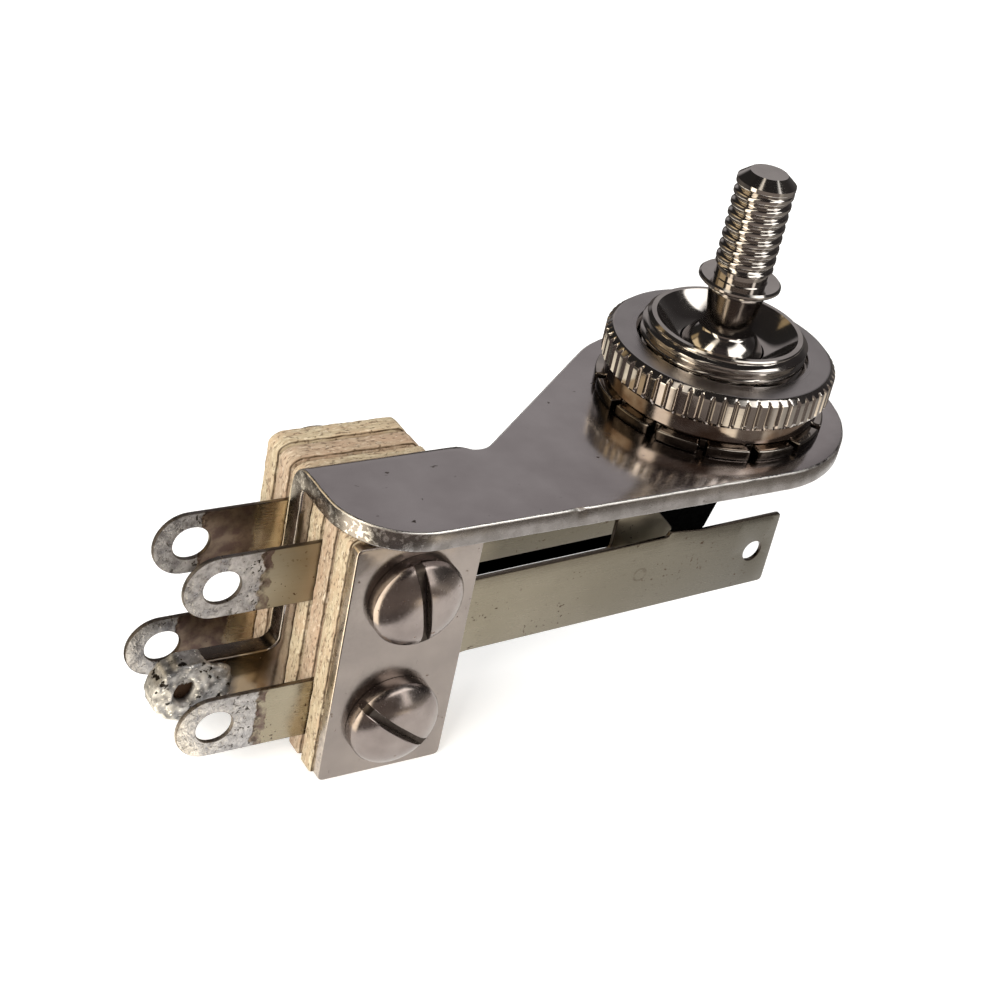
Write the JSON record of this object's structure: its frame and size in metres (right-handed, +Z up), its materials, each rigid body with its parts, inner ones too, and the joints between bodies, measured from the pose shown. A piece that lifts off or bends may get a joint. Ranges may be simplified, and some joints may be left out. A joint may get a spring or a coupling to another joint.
{
  "type": "guitar pickup selector switch",
  "caption": "Right-angle toggle switch for choosing guitar pickups: threaded lever and bushing with a knurled nut on a bent steel frame, with a clamped stack of leaf contacts and solder lugs.",
  "frame": {"origin": "on the bushing's axis at the top face of the frame's plate", "axes": "+Z up the lever, +X from the contact stack towards the bushing, -Y towards the front clamp plate"},
  "size_m": [0.0522, 0.0204, 0.0391],
  "materials": {
    "satin_nickel": "satin nickel plate",
    "bright_nickel": "bright nickel plate",
    "nickel_silver": "rolled nickel silver",
    "clamp_steel": "dull nickel plate",
    "screw_steel": "nickel plate",
    "paper_board": "pressed paper board",
    "sleeve_board": "rolled paper tube",
    "black_moulding": "moulded",
    "contact_silver": "bright silver"
  },
  "bodies": {
    "switch_frame": {"frame": "satin_nickel", "bushing": "bright_nickel", "retaining_ring": "screw_steel", "lock_washer": "screw_steel", "knurled_nut": "bright_nickel", "front_insulator_inner": "paper_board", "front_insulator_middle": "paper_board", "front_insulator_outer": "paper_board", "front_clamp_plate": "clamp_steel", "front_short_leaf": "nickel_silver", "front_short_contact": "contact_silver", "front_sleeve_upper": "sleeve_board", "front_screw_upper": "screw_steel", "front_sleeve_lower": "sleeve_board", "front_screw_lower": "screw_steel", "back_insulator_inner": "paper_board", "back_insulator_middle": "paper_board", "back_insulator_outer": "paper_board", "back_clamp_plate": "clamp_steel", "back_short_leaf": "nickel_silver", "back_short_contact": "contact_silver", "back_sleeve_upper": "sleeve_board", "back_screw_upper": "screw_steel", "back_washer_upper": "screw_steel", "back_sleeve_lower": "sleeve_board", "back_screw_lower": "screw_steel", "back_washer_lower": "screw_steel"},
    "lever_arm": {"lever": "bright_nickel", "pivot_pin": "screw_steel", "actuator_paddle": "black_moulding"},
    "front_spring": {"front_long_leaf": "nickel_silver", "front_long_contact": "contact_silver"},
    "back_spring": {"back_long_leaf": "nickel_silver", "back_long_contact": "contact_silver"}
  },
  "joints": [
    {"name": "lever_tilt", "type": "hinge", "parent": "switch_frame", "child": "lever_arm", "pos_m": [0, 0, 0.0032], "axis": [1, 0, 0], "range_deg": [-14, 14]},
    {"name": "front_spring_flex", "type": "hinge", "parent": "switch_frame", "child": "front_spring", "pos_m": [-0.0221, -0.00541, -0.0114], "axis": [0, 0, -1], "range_deg": [0, 3.5], "stiffness_Nm_per_rad": 0.05, "deforming": ["front_long_leaf"]},
    {"name": "back_spring_flex", "type": "hinge", "parent": "switch_frame", "child": "back_spring", "pos_m": [-0.0221, 0.00351, -0.0114], "axis": [0, 0, 1], "range_deg": [0, 3.5], "stiffness_Nm_per_rad": 0.05, "deforming": ["back_long_leaf"]}
  ]
}
